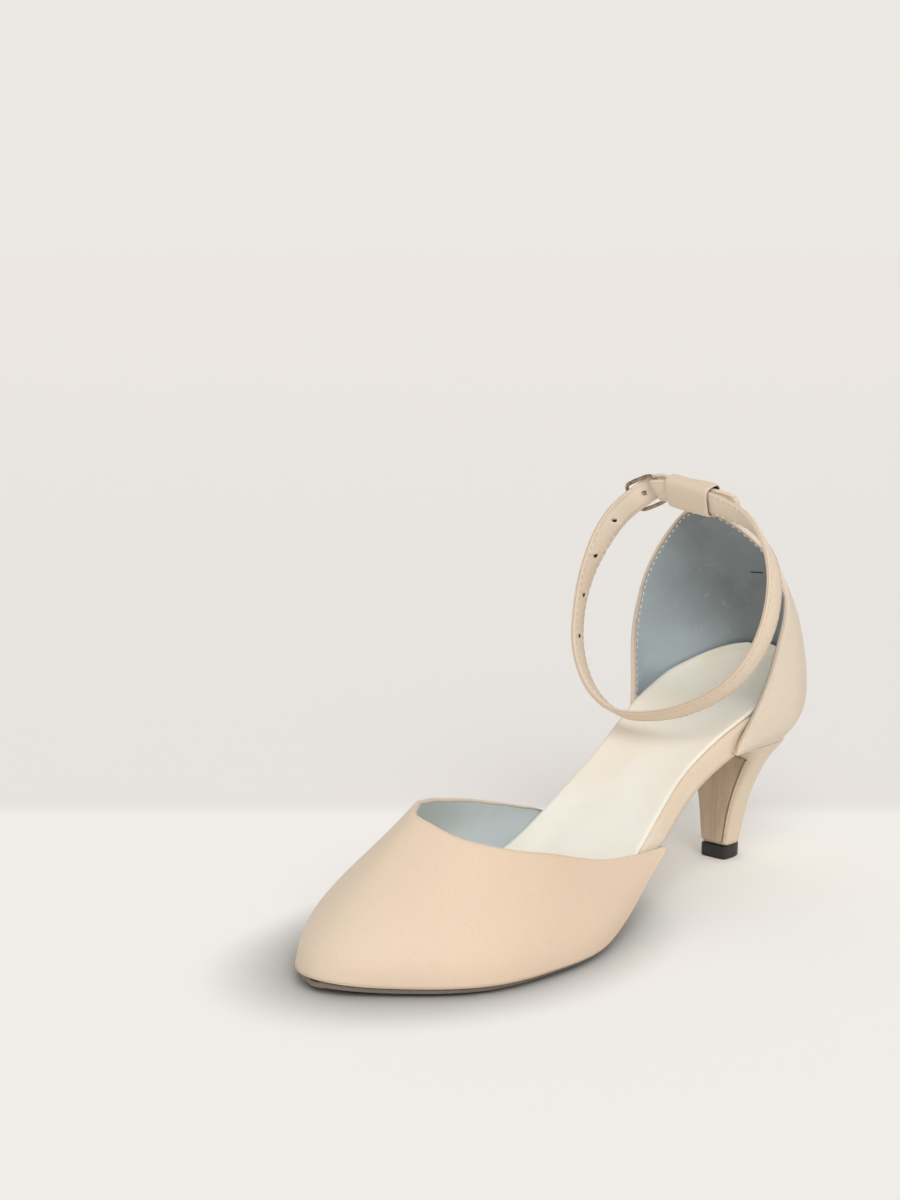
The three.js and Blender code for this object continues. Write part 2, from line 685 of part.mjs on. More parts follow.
// Ankle strap ring: its middle line from the loop over the outer side and back. "out" is a share of half
// the ring's width, "drop" the way down from the loop as a share of ringDrop, "twist" how far its face is
// turned toward the heel, in degrees.
const ringRows = [
  { out: 0.000, drop: 0.000, twist: 56 },
  { out: 0.375, drop: 0.030, twist: 52 },
  { out: 0.680, drop: 0.084, twist: 35 },
  { out: 0.935, drop: 0.223, twist: 12 },
  { out: 1.026, drop: 0.400, twist: 2 },
  { out: 0.972, drop: 0.603, twist: 0 },
  { out: 0.762, drop: 0.780, twist: -3 },
  { out: 0.362, drop: 0.923, twist: -8 },
  { out: -0.026, drop: 0.988, twist: -10 },
  { out: -0.362, drop: 0.998, twist: -12 },
  { out: -0.672, drop: 0.920, twist: -14 },
  { out: -0.899, drop: 0.752, twist: -15 },
  { out: -0.972, drop: 0.526, twist: -14 },
  { out: -0.915, drop: 0.322, twist: 6 },
  { out: -0.724, drop: 0.118, twist: 38 },
  { out: -0.388, drop: -0.008, twist: 50 },
];
const ringLean = 0.27;
const ringTop = [-0.4586 * shoeLength, 0, counterRise + 3.6];
const ringLine = new THREE.CatmullRomCurve3(ringRows.map((r) => new THREE.Vector3(
  ringTop[0] + ringLean * r.drop * ringDrop,
  (r.out * ringWidth) / 2,
  ringTop[2] - r.drop * ringDrop,
)), true, 'centripetal');
ringLine.arcLengthDivisions = 1200;
const ringLength = ringLine.getLength();

// How far the face is turned at a share of the way through the rows, smooth over the closed ring
function ringTwist(share) {
  const n = ringRows.length;
  const i = Math.floor(share * n);
  const t = share * n - i;
  const [a, b, c, d] = [-1, 0, 1, 2].map((k) => ringRows[(i + k + n) % n].twist);
  return THREE.MathUtils.degToRad(b + 0.5 * t * (c - a + t * (2 * a - 5 * b + 4 * c - d + t * (3 * (b - c) + d - a))));
}

// Place on the ring at a distance from the loop's middle, positive to the outer side; "lift" is outward
const ringNormal = new THREE.Vector3(1, 0, ringLean).normalize();
function onRing(at) {
  const u = THREE.MathUtils.euclideanModulo(at / ringLength, 1);
  const p = ringLine.getPointAt(u);
  const t = ringLine.getTangentAt(u);
  const twist = ringTwist(ringLine.getUtoTmapping(u));
  const o = new THREE.Vector3().crossVectors(ringNormal, t).normalize().multiplyScalar(Math.cos(twist));
  o.addScaledVector(ringNormal, -Math.sin(twist));
  o.addScaledVector(t, -o.dot(t)).normalize();
  return { p, t, o, w: new THREE.Vector3().crossVectors(t, o) };
}
const ringPoint = (at, across, lift) => {
  const r = onRing(at);
  return r.p.clone().addScaledVector(r.w, across).addScaledVector(r.o, lift);
};

// A round-cornered bar swept along frames: each frame has a place, an across and an up direction
function sweep(body, frames, halfWide, halfThick, corners) {
  const ids = frames.map((f) => {
    const ring = corners.map(([a, b]) => f.p.clone()
      .addScaledVector(f.w, -a * halfWide * f.wide)
      .addScaledVector(f.o, b * halfThick * f.thick)
      .toArray());
    return body.row(ring);
  });
  body.rings(ids);
  body.cap(ids[0], false);
  body.cap(ids[ids.length - 1], true);
}
const flatBar = [[1, 0.5], [0.86, 1], [-0.86, 1], [-1, 0.5], [-1, -0.5], [-0.86, -1], [0.86, -1], [1, -0.5]];
const roundBar = [0, 1, 2, 3, 4, 5, 6, 7].map((k) => [Math.cos((Math.PI * k) / 4), Math.sin((Math.PI * k) / 4)]);

// The strap starts hooked round the buckle's bar, runs through the loop and once round,
// under the buckle's far side, over the bar and back through the loop, ending in a round tail
const layerPitch = strapThickness + gap + 0.05;
const barAt = -13.4;
const farAt = -24.8;
const barLift = strapThickness / 2 + barWire / 2 + gap;
const farLift = strapThickness / 2 + buckleWire / 2 + gap + 0.3;
const hookRadius = strapThickness / 2 + barWire / 2 + gap;
const tailLift = [
  { at: farAt - 8, lift: 0 },
  { at: farAt + 1.5, lift: 0 },
  { at: barAt - 6.5, lift: 1.5 },
  { at: barAt - 3, lift: 3.2 },
  { at: barAt - 1.2, lift: barLift + hookRadius + 0.15 },
  { at: barAt + 1.6, lift: barLift + hookRadius + 0.15 },
  { at: barAt + 2.9, lift: 2.85 },
  { at: -9.3, lift: layerPitch },
  { at: 7, lift: layerPitch },
  { at: 12, lift: layerPitch + 0.8 },
  { at: 20, lift: layerPitch + 1.9 },
];
const tailEnd = 17.5;
const bar = onRing(barAt);
// Middle and directions of the buckle frame, from its bar to its far side
const far = onRing(farAt);
const frameBar = bar.p.clone().addScaledVector(bar.o, barLift);
const frameFar = far.p.clone().addScaledVector(far.o, farLift);
const frameMid = frameBar.clone().add(frameFar).multiplyScalar(0.5);
const frameT = frameBar.clone().sub(frameFar).normalize();
const frameW = bar.w.clone();
frameW.addScaledVector(frameT, -frameW.dot(frameT)).normalize();
const frameO = new THREE.Vector3().crossVectors(frameW, frameT);
const frameBow = onRing((barAt + farAt) / 2).p.sub(frameMid).dot(frameW);
frameMid.addScaledVector(frameW, frameBow / 2);

// The strap turns round the bar along the frame's own directions
const hookO = bar.o.clone().addScaledVector(frameW, -bar.o.dot(frameW)).normalize();
const hookT = new THREE.Vector3().crossVectors(hookO, frameW);
const strapFrames = [];
[75, 50, 25, 0].forEach((deg) => {
  const a = THREE.MathUtils.degToRad(deg);
  const out = hookO.clone().multiplyScalar(-Math.cos(a)).addScaledVector(hookT, -Math.sin(a));
  const p = frameBar.clone().addScaledVector(out, hookRadius);
  strapFrames.push({ p, w: frameW, o: out.clone().negate(), wide: 1, thick: 1 });
});
const turnSteps = 58;
const wayRound = ringLength + farAt - 8 - barAt;
for (let i = 1; i <= turnSteps; i += 1) {
  const r = onRing(barAt + (wayRound * i) / turnSteps);
  strapFrames.push({ ...r, wide: 1, thick: 1 });
}
for (let at = farAt - 6.5; at < tailEnd - 2.6; at += 1.9) {
  const r = onRing(at);
  const p = r.p.clone().addScaledVector(r.o, column(tailLift, 'at', 'lift', at));
  strapFrames.push({ ...r, p, wide: 1, thick: 1 });
}
[[2.2, 0.97], [1.1, 0.82], [0.3, 0.52], [0, 0.3]].forEach(([back, wide]) => {
  const r = onRing(tailEnd - back);
  const lift = column(tailLift, 'at', 'lift', tailEnd - back);
  strapFrames.push({ ...r, p: r.p.clone().addScaledVector(r.o, lift), wide, thick: 1 });
});
const strapBody = new Body();
sweep(strapBody, strapFrames, strapWidth / 2, strapThickness / 2, flatBar);
let strapSolid = strapBody.solid();

// Adjusting holes through the strap; the prong stands in the first, which it has widened
const prongRadius = 0.62;
const prongHole = prongRadius + 0.33;
const holeRadius = 0.68;
const firstHole = farAt + 5.3;
const holeCount = 5;
for (let i = 0; i < holeCount; i += 1) {
  const at = firstHole - i * holePitch;
  const r = onRing(at);
  const lift = i === 0 ? column(tailLift, 'at', 'lift', at) : 0;
  const hole = new Body();
  const frames = [-2.2, 2.2].map((h) => ({
    p: r.p.clone().addScaledVector(r.o, lift + h), w: r.w, o: r.t, wide: 1, thick: 1,
  }));
  const radius = i === 0 ? prongHole : holeRadius;
  sweep(hole, frames.reverse(), radius, radius, roundBar);
  strapSolid = strapSolid.subtract(hole.solid());
}
const strapMesh = strapSolid.getMesh();
const strapGeometry = new THREE.BufferGeometry();
strapGeometry.setAttribute('position', new THREE.Float32BufferAttribute(strapMesh.vertProperties, 3));
strapGeometry.setIndex(Array.from(strapMesh.triVerts));
strapGeometry.computeVertexNormals();
const strap = new THREE.Mesh(strapGeometry, new THREE.MeshStandardMaterial({ color: 0xe4cbaf, roughness: 0.6 }));
strap.name = 'ankle_strap';

// Strap loop: a tube of leather on top of the counter, round the strap and its tail
const loopLift = layerPitch / 2;
const loopOval = [];
for (let k = 0; k < 16; k += 1) {
  const a = (2 * Math.PI * k) / 16;
  const round = (v) => Math.sign(v) * Math.abs(v) ** 0.52;
  loopOval.push([round(Math.cos(a)), round(Math.sin(a))]);
}
const loopInner = [strapWidth / 2 + 0.5, (strapThickness + layerPitch) / 2 + 0.5];
// The tube's open end stands away from the strap, on the side away from the counter
const loopFlare = 1.3;
const loopBody = new Body();
const loopRows = [];
for (let i = 0; i <= 5; i += 1) {
  const r = onRing(loopLength * (i / 5 - 0.5));
  const flare = (loopFlare / 2) * smooth(i / 5, 0.35, 1);
  const ring = (grow) => loopBody.row(loopOval.map(([a, b]) => r.p.clone()
    .addScaledVector(r.w, -a * (loopInner[0] + grow))
    .addScaledVector(r.o, loopLift + flare + b * (loopInner[1] + flare + grow))
    .toArray()));
  loopRows.push([ring(loopWall), ring(0)]);
}
const loopOuterIds = loopRows.map((r) => r[0]);
const loopInnerIds = loopRows.map((r) => r[1]).reverse();
loopBody.rings([...loopOuterIds, ...loopInnerIds, loopOuterIds[0]]);
const loop = loopBody.mesh('strap_loop', 0xe2c9ad);

// Buckle frame: a rounded rectangle of wire, its bar toward the loop, its far side over the strap
const frameHalf = [frameBar.distanceTo(frameFar) / 2, strapWidth / 2 + gap + 0.3 + buckleWire / 2];
const frameLine = [];
const cornerRadius = 2.4;
[[1, 1, 0], [-1, 1, 90], [-1, -1, 180], [1, -1, 270]].forEach(([a, b, from]) => {
  for (let k = 0; k <= 3; k += 1) {
    const turn = THREE.MathUtils.degToRad(from + 30 * k);
    frameLine.push([
      a * (frameHalf[0] - cornerRadius) + Math.cos(turn) * cornerRadius,
      b * (frameHalf[1] - cornerRadius) + Math.sin(turn) * cornerRadius,
      a > 0 && k !== (b > 0 ? 3 : 0) ? barWire / 2 : buckleWire / 2,
    ]);
  }
});
const frameBody = new Body();
const frameIds = frameLine.map((q, i) => {
  const a = frameLine[(i + 15) % 16];
  const b = frameLine[(i + 1) % 16];
  const along = [b[0] - a[0], b[1] - a[1]];
  const l = Math.hypot(...along);
  const out = [along[1] / l, -along[0] / l];
  return frameBody.row(roundBar.map(([c, s]) => frameMid.clone()
    .addScaledVector(frameT, q[0] + out[0] * c * q[2])
    .addScaledVector(frameW, q[1] + out[1] * c * q[2])
    .addScaledVector(frameO, s * q[2])
    .toArray()));
});
frameBody.rings([...frameIds, frameIds[0]]);
const frame = frameBody.mesh('buckle_frame', 0xd9cbb0);

// Prong: stands in the strap's first hole and rests across the frame's far side
const prongOver = farLift + buckleWire / 2 + prongRadius + 0.15;
const holeLift = column(tailLift, 'at', 'lift', firstHole);
const prongLine = [
  { at: firstHole, lift: holeLift - strapThickness / 2 - 0.15, r: 0.8 },
  { at: firstHole, lift: holeLift + strapThickness / 2 + 0.3, r: 1 },
  { at: firstHole - 0.6, lift: holeLift + strapThickness / 2 + 1.05, r: 1 },
  { at: firstHole - 2.6, lift: prongOver - 0.05, r: 1 },
  { at: farAt + 0.9, lift: prongOver + 0.05, r: 0.95 },
  { at: farAt - 0.9, lift: prongOver, r: 0.9 },
  { at: farAt - 1.9, lift: prongOver - 0.5, r: 0.7 },
];
const prongPoints = prongLine.map((q) => ringPoint(q.at, 0, q.lift));
const prongBody = new Body();
const prongFrames = prongPoints.map((p, i) => {
  const t = prongPoints[Math.min(i + 1, 6)].clone().sub(prongPoints[Math.max(i - 1, 0)]).normalize();
  const w = onRing(prongLine[i].at).w.clone();
  w.addScaledVector(t, -w.dot(t)).normalize();
  return { p, w, o: new THREE.Vector3().crossVectors(w, t), wide: prongLine[i].r, thick: prongLine[i].r };
});
sweep(prongBody, prongFrames, prongRadius, prongRadius, roundBar);
const prong = prongBody.mesh('buckle_prong', 0xd9cbb0);

const shoe = new THREE.Group();
shoe.name = 'pencil_heel_shoe';
shoe.add(outsole, board, sock, vamp, counter, heel, cover, tip, loop, strap, frame, prong);

export default shoe;
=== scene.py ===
"""A pencil heel shoe with a fastened ankle strap, dressed in leather, lining, rubber and metal.

Metres throughout. Each section makes one piece, in the order in which the shoe is put together.
"""

import bisect
import math

import bmesh
import bpy
from mathutils import Matrix, Vector
from mathutils.kdtree import KDTree


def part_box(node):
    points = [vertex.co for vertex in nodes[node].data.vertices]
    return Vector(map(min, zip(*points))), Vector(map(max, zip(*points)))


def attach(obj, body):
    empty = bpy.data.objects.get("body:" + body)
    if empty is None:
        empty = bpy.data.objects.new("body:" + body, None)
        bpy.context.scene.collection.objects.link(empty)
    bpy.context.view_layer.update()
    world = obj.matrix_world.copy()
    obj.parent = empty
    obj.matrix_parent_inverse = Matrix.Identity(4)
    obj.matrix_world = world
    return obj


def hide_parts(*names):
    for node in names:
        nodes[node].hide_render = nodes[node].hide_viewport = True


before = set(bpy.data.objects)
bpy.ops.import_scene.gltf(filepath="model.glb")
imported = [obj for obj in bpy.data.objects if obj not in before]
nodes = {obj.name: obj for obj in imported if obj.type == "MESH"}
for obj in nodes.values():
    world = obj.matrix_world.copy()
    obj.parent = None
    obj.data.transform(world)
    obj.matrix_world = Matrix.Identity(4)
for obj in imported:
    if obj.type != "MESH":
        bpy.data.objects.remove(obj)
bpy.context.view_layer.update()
scene = bpy.context.scene
MM = 0.001

# ---------------------------------------------------------------------------------------------
# Camera. It looks down a little on the outer side of the toe, from the photograph's place, with a
# longish lens that fills the upright picture with the one shoe.
TURN = 0.81917  # round from the outer side towards the toe, in radians
RISE = 0.18826  # above the floor's level, in radians
DISTANCE = 0.800
AIM = Vector((-0.042, 0.0, 0.050))
SLIDE_RIGHT = -0.0342417
SLIDE_UP = 0.0493047
PICTURE_WIDTH = 900
LENS_IN_PIXELS = 2552.28
SENSOR_WIDTH = 36
to_right = Vector((-math.cos(TURN), math.sin(TURN), 0))
to_eye = Vector((math.sin(TURN) * math.cos(RISE), math.cos(TURN) * math.cos(RISE), math.sin(RISE)))
to_top = to_eye.cross(to_right)
camera = bpy.data.objects.new("camera", bpy.data.cameras.new("camera"))
camera.data.sensor_width = SENSOR_WIDTH
camera.data.sensor_fit = "HORIZONTAL"
camera.data.lens = LENS_IN_PIXELS / PICTURE_WIDTH * SENSOR_WIDTH
camera.data.clip_start = 0.05
camera.data.clip_end = 30
camera.rotation_mode = "QUATERNION"
camera.rotation_quaternion = Matrix((to_right, to_top, to_eye)).transposed().to_quaternion()
camera.location = AIM + to_right * SLIDE_RIGHT + to_top * SLIDE_UP + to_eye * DISTANCE
scene.collection.objects.link(camera)
scene.camera = camera
scene.view_settings.view_transform = "Standard"
scene.view_settings.look = "None"

# ---------------------------------------------------------------------------------------------
# Vamp. One piece of smooth beige synthetic leather lasted over the toe, its top edge turned in and
# glued down, with a grey-blue lining of thin smooth synthetic leather behind it.
VAMP_LEATHER = ((233, 206, 179), (229, 213, 191))
RIM_WORN_SHADED = (206, 192, 176)
RIM_SHADOW = (104, 98, 92)
# The lining's painted light and shade: the lit colour inside the toe, and the painted shade that every
# lining darkens towards.
LINING_VAMP_LIT = (216, 227, 230)
LINING_PAINTED_SHADE = (118, 122, 126)
LINING_CREASE = (205, 214, 216)
SLIT_SHADE = (46, 44, 44)
GRAIN_CELL = 0.0007
GRAIN_DEPTH = 0.00012
LEATHER_GLOSS = 0.42
VAMP_WALL = 1.6
BOARD_UNDER_VAMP = 0.0028


def shade(rgb):
    """A colour as it looks on a screen, made linear for a shader."""
    def one(c):
        c /= 255
        return c / 12.92 if c <= 0.04045 else ((c + 0.055) / 1.055) ** 2.4
    return (*[one(c) for c in rgb], 1.0)


class Wire:
    """One socket of a material, worked on with plain arithmetic."""

    def __init__(self, tree, socket=None):
        self.tree = tree
        self.socket = socket

    def make(self, kind, values=None, out=0, stops=(), **settings):
        node = self.tree.nodes.new(kind)
        for key, value in settings.items():
            setattr(node, key, value)
        for i, (place, colour) in enumerate(stops):
            ramp = node.color_ramp.elements
            stop = ramp[i] if i < 2 else ramp.new(place)
            stop.position = place
            stop.color = colour
        for key, value in (values or {}).items():
            if isinstance(value, Wire):
                self.tree.links.new(value.socket, node.inputs[key])
            else:
                node.inputs[key].default_value = value
        return Wire(self.tree, node.outputs[out] if node.outputs else None)

    def maths(self, operation, first, second=0.0, third=0.0):
        return self.make("ShaderNodeMath", {0: first, 1: second, 2: third}, operation=operation)

    def __add__(self, other):
        return self.maths("ADD", self, other)

    __radd__ = __add__

    def __mul__(self, other):
        return self.maths("MULTIPLY", self, other)

    __rmul__ = __mul__

    def __sub__(self, other):
        return self.maths("SUBTRACT", self, other)

    def __rsub__(self, other):
        return self.maths("SUBTRACT", other, self)

    def between(self, low, high):
        """0 below low, 1 above high, smooth between."""
        return self.make("ShaderNodeMapRange", {"Value": self, "From Min": low, "From Max": high},
                         interpolation_type="SMOOTHSTEP")

    def tint(self, under, over):
        """The colour under where this is 0, over where it is 1."""
        return self.make("ShaderNodeMix", {0: self, 6: under, 7: over}, out=2, data_type="RGBA")

    def noise(self, place, scale, detail=2.0, rough=0.5, warp=0.0):
        return self.make("ShaderNodeTexNoise", {"Vector": place, "Scale": scale, "Detail": detail,
                                                "Roughness": rough, "Distortion": warp})

    def cells(self, place, scale, scatter):
        return self.make("ShaderNodeTexVoronoi",
                         {"Vector": place, "Scale": scale, "Randomness": scatter}, feature="SMOOTH_F1")

    def mark(self, name):
        return self.make("ShaderNodeAttribute", out=2, attribute_name=name)

    def place(self):
        return self.make("ShaderNodeTexCoord", out=3)

    def axis(self, number):
        return self.make("ShaderNodeSeparateXYZ", {0: self}, out=number)

    def vector(self, operation, first, second=(0, 0, 0), out=0):
        return self.make("ShaderNodeVectorMath", {0: first, 1: second}, out, operation=operation)


def new_finish(name):
    """An empty material and the wire that its nodes are made from."""
    finish = bpy.data.materials.new(name)
    finish.use_nodes = True
    finish.node_tree.nodes.clear()
    return finish, Wire(finish.node_tree)


def close_finish(wire, colour, roughness, height=None, depth=0.0001, strength=1.0, **fixed):
    """Joins colour, roughness and surface height to one surface shader."""
    values = {"Base Color": colour, "Roughness": roughness}
    if height is not None:
        bump = {"Height": height, "Distance": depth, "Strength": strength}
        values["Normal"] = wire.make("ShaderNodeBump", bump)
    for key, value in fixed.items():
        values[key.replace("_", " ")] = value
    surface = wire.make("ShaderNodeBsdfPrincipled", values)
    wire.make("ShaderNodeOutputMaterial", {"Surface": surface})


def leather_looks(wire, warm, pale, warmer=None):
    """Colour, roughness and height of the faintly pebbled beige leather. "warmer" adds peach."""
    place = wire.place()
    drift = wire.noise(place, 14, 2, 0.5, 0.6).between(0.36, 0.66)
    if warmer is not None:
        drift = drift * 0.35 + (1 - warmer) * 0.65
    cloud = wire.noise(place, 75, 3, 0.55)
    pebble = wire.cells(place, 1 / GRAIN_CELL, 0.95)
    pores = wire.noise(place, 2600, 2, 0.6)
    crease = wire.noise(place, 260, 3, 0.6, 1.4) - 0.5
    height = pebble * -0.5 + pores * 0.35 + crease * 0.5 + cloud * 0.9
    tone = (drift * 0.75 + cloud * 0.25).tint(shade(warm), shade(pale))
    deep = pebble.between(0.35, 0.75) * 0.10
    colour = deep.tint(tone, shade([c * 0.86 for c in warm]))
    roughness = 0.50 + cloud * 0.10 - drift * 0.04
    return colour, roughness, height


def lining_looks(wire, painted_lit, light):
    """Colour, roughness and height of the smooth lining, with short creases. Its second argument paints
    light and shade on it: from a painted shade up to the lit colour given.
    """
    place = wire.place()
    drift = wire.noise(place, 30, 3, 0.55, 0.5).between(0.35, 0.68)
    folds = wire.noise(place, 95, 3, 0.55, 1.2)
    ridge = 1 - wire.maths("ABSOLUTE", folds - 0.5).between(0.0, 0.030)
    patch = wire.noise(place, 170, 2, 0.5).between(0.52, 0.66)
    crease = ridge * patch
    grain = wire.noise(place, 1900, 2, 0.6)
    tone = (painted_lit * 0.8 + drift * 0.2).tint(shade(LINING_PAINTED_SHADE), shade(light))
    colour = (crease * 0.22).tint(tone, shade(LINING_CREASE))
    height = grain * 0.2 + crease * 1.3 + drift * 0.8
    return colour, 0.60 - crease * 0.10 + grain * 0.06, height


def upper_finish(wire, tones, wall, above, warmer, painted_lit, light, slit=None):
    """Leather outside and over the rim, lining inside. "above" is 0 where the piece is glued down.

    "wall" is the upper's thickness in mm, and "slit" is 1 in a short cut in the lining, pressed in and
    painted near-black as the shade inside it.
    """
    colour, roughness, height = leather_looks(wire, *tones, warmer)
    blue, soft, folds = lining_looks(wire, painted_lit, light)
    rim = wire.mark("from_inner_rim")
    inside = wire.mark("inside").between(0.35, 0.65) * above
    lined = wire.mark("from_outer_rim").between(wall + 0.01, wall + 0.10) * inside
    # The rim is painted darker: wear on its cut edge, and painted shade.
    worn_shaded_rim = (1 - rim.between(0.6, 1.9)) * 0.55
    colour = worn_shaded_rim.tint(colour, shade(RIM_WORN_SHADED))
    shadow = 1 - wire.maths("ABSOLUTE", rim - 0.35).between(0.0, 0.3)
    colour = lined.tint(colour, blue)
    colour = (shadow * inside * 0.5).tint(colour, shade(RIM_SHADOW))
    height = height * (1 - lined) + folds * lined + (1 - lined) * 1.6
    # Painted shade inside the cut in the lining.
    if slit:
        colour = slit.tint(colour, shade(SLIT_SHADE))
        height = height - slit * 3
    roughness = roughness * (1 - lined) + soft * lined
    close_finish(wire, colour, roughness, height, GRAIN_DEPTH, 0.55,
                 Specular_IOR_Level=LEATHER_GLOSS)


def loose_copy(node, name, levels, crease=0.6, sharp=50):
    """The solid's mesh as quads, its edges creased, then subdivided smooth. Also its sharp edges.

    "sharp" is the least angle of such an edge, in degrees, and each comes with the sum of the
    normals beside it.
    """
    mesh = nodes[node].data.copy()
    bm = bmesh.new()
    bm.from_mesh(mesh)
    bmesh.ops.remove_doubles(bm, verts=bm.verts, dist=3e-6)
    bmesh.ops.dissolve_degenerate(bm, edges=bm.edges, dist=2e-6)
    bmesh.ops.join_triangles(bm, faces=bm.faces, angle_face_threshold=math.radians(40),
                             angle_shape_threshold=math.radians(70))
    fold = bm.edges.layers.float.get("crease_edge") or bm.edges.layers.float.new("crease_edge")
    edges = []
    for edge in bm.edges:
        if edge.is_manifold and edge.calc_face_angle(0) > math.radians(sharp):
            edge[fold] = crease
            lean = edge.link_faces[0].normal + edge.link_faces[1].normal
            edges.append([v.co.copy() for v in edge.verts] + [lean])
    bm.to_mesh(mesh)
    bm.free()
    mesh.name = name
    piece = bpy.data.objects.new(name, mesh)
    scene.collection.objects.link(piece)
    if levels:
        smooth = piece.modifiers.new("soft", "SUBSURF")
        smooth.levels = levels
        smooth.render_levels = levels
        bpy.context.view_layer.update()
        ready = piece.evaluated_get(bpy.context.evaluated_depsgraph_get())
        piece.data = bpy.data.meshes.new_from_object(ready)
        piece.modifiers.clear()
        piece.data.name = name
    piece.data.shade_smooth()
    return piece, edges


def dress(piece, finish, node):
    """Gives a piece its finish and its body, and hides the node that it stands for."""
    piece.data.materials.clear()
    piece.data.materials.append(finish)
    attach(piece, "root")
    if node:
        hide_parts(node)


def write_marks(mesh, **marks):
    """Keeps numbers worked out for each vertex, for the finish to read."""
    for name, values in marks.items():
        mesh.attributes.new(name, "FLOAT", "POINT").data.foreach_set("value", values)


def rim_distance(mesh, edges, keep):
    """How far each vertex is from the kept sharp edges, in mm."""
    spots = []
    for a, b, lean in edges:
        if keep(a, b, lean):
            steps = max(2, int((a - b).length / 0.0005))
            spots += [a.lerp(b, k / steps) for k in range(steps + 1)]
    tree = KDTree(len(spots))
    for i, spot in enumerate(spots):
        tree.insert(spot, i)
    tree.balance()
    return [tree.find(v.co)[2] / MM for v in mesh.vertices]


sole_points = [v.co.copy() for v in nodes["outsole"].data.vertices]


def sole_top(x):
    """Height of the outsole's top near x."""
    return max((p.z for p in sole_points if abs(p.x - x) < 0.005), default=0.0)


def vamp_middle(p):
    """The place inside the toe that the vamp's wall beside p looks at."""
    return Vector((min(p.x, 0.028), 0.0025, max(0.008, sole_top(p.x))))


def mark_upper(mesh, edges, middle, glued):
    """Marks the inner wall and each vertex's way from the rim's two edges. Returns the inner one."""
    def rim(inner):
        def keep(a, b, lean):
            free = min(a.z - glued(a.x), b.z - glued(b.x)) > 0
            return free and (lean.dot(a - middle(a)) < 0) == inner
        return rim_distance(mesh, edges, keep)
    inner_rim = rim(True)
    inside = [1.0 if v.normal.dot(v.co - middle(v.co)) < 0 else 0.0 for v in mesh.vertices]
    write_marks(mesh, from_inner_rim=inner_rim, from_outer_rim=rim(False), inside=inside)
    return inner_rim


vamp_finish, wire = new_finish("vamp_finish")
place = wire.place()
along, side = place.axis(0), place.axis(1)
warmer = side.between(-0.012, 0.022) * (1 - along.between(0.015, 0.062) * 0.6)
# Inside the toe the lining is painted light, lighter still towards the toe's end.
upper_finish(wire, VAMP_LEATHER, VAMP_WALL, 1.0, warmer, along * 4 + 1.0, LINING_VAMP_LIT)
vamp, vamp_edges = loose_copy("vamp", "vamp_leather", 2)
mark_upper(vamp.data, vamp_edges, vamp_middle, lambda x: sole_top(x) + BOARD_UNDER_VAMP)
dress(vamp, vamp_finish, "vamp")

# ---------------------------------------------------------------------------------------------
# Heel counter. A tall stiffened back of the same leather and lining, its edge turned in and stitched
# right round, seated on the heel with a closed seam.
COUNTER_LEATHER = ((228, 209, 188), (226, 213, 195))
# The lit colour of the counter lining's painted light.
LINING_COUNTER_LIT = (190, 205, 212)
COUNTER_WALL = 2.0
SEAM_CLOSED = 0.0002
STITCHES_IN = 0.8
SLIT_FROM = Vector((-0.1344, 0.0044, 0.0974))
SLIT_TO = Vector((-0.1334, 0.0106, 0.0981))
SLIT_RISE = 0.11
counter, counter_edges = loose_copy("counter", "counter_leather", 2)
seat_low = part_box("counter")[0].z
counter_finish, wire = new_finish("counter_finish")
place = wire.place()
side, high = place.axis(1), place.axis(2)
# Painted light and shade on the counter's lining: lighter low down and on the inner side, darker high on the
# outer side.
painted_lit = (side * -1).between(0.002, 0.027) * 0.68 + (1 - high.between(0.066, 0.100)) * 0.25
slit_line = (SLIT_TO - SLIT_FROM).normalized()
along_slit = wire.vector("DOT_PRODUCT", place, slit_line, out=1) - SLIT_FROM.dot(slit_line)
off_slit = wire.maths("ABSOLUTE", high - SLIT_FROM.z - along_slit * SLIT_RISE)
slit = (1 - off_slit.between(0.00015, 0.00034)) * along_slit.between(-0.0004, 0.0006)
slit = slit * (1 - along_slit.between(0.0058, 0.0066)) * wire.mark("inside")
above = high.between(seat_low + 0.0012, seat_low + 0.0022)
upper_finish(wire, COUNTER_LEATHER, COUNTER_WALL, above, 0.35, painted_lit, LINING_COUNTER_LIT, slit)


def counter_middle(p):
    """The place inside the heel that the counter's wall beside p looks at, further forward on top."""
    high = min(max((p.z - 0.095) / 0.020, 0.0), 1.0)
    return Vector((-0.112 + 0.026 * high, 0.0, p.z))


near_rim = mark_upper(counter.data, counter_edges, counter_middle, lambda x: seat_low + 0.0008)
for v in counter.data.vertices:
    if v.co.z < seat_low + 0.0004:
        v.co.z -= SEAM_CLOSED
dress(counter, counter_finish, "counter")


def row_along(mesh, near, middle, away):
    """Points and normals of the line on the inside that runs "away" mm from the rim."""
    bm = bmesh.new()
    bm.from_mesh(mesh)
    links = {}
    spots = {}
    for face in bm.faces:
        spot = face.calc_center_median()
        if face.normal.dot((spot - middle(spot)).normalized()) > -0.45:
            continue
        hits = []
        for edge in face.edges:
            a, b = [near[v.index] - away for v in edge.verts]
            if a * b < 0:
                p, q = [v.co for v in edge.verts]
                spots[edge.index] = (p.lerp(q, a / (a - b)), face.normal.copy())
                hits.append(edge.index)
        if len(hits) == 2:
            links.setdefault(hits[0], []).append(hits[1])
            links.setdefault(hits[1], []).append(hits[0])
    bm.free()
    lines = []
    used = set()
    for start in sorted(links, key=lambda k: len(links[k])):
        if start in used:
            continue
        line = [start]
        used.add(start)
        while True:
            step = [k for k in links[line[-1]] if k not in used]
            if not step:
                break
            line.append(step[0])
            used.add(step[0])
        lines.append([spots[k] for k in line])
    return max(lines, key=len)


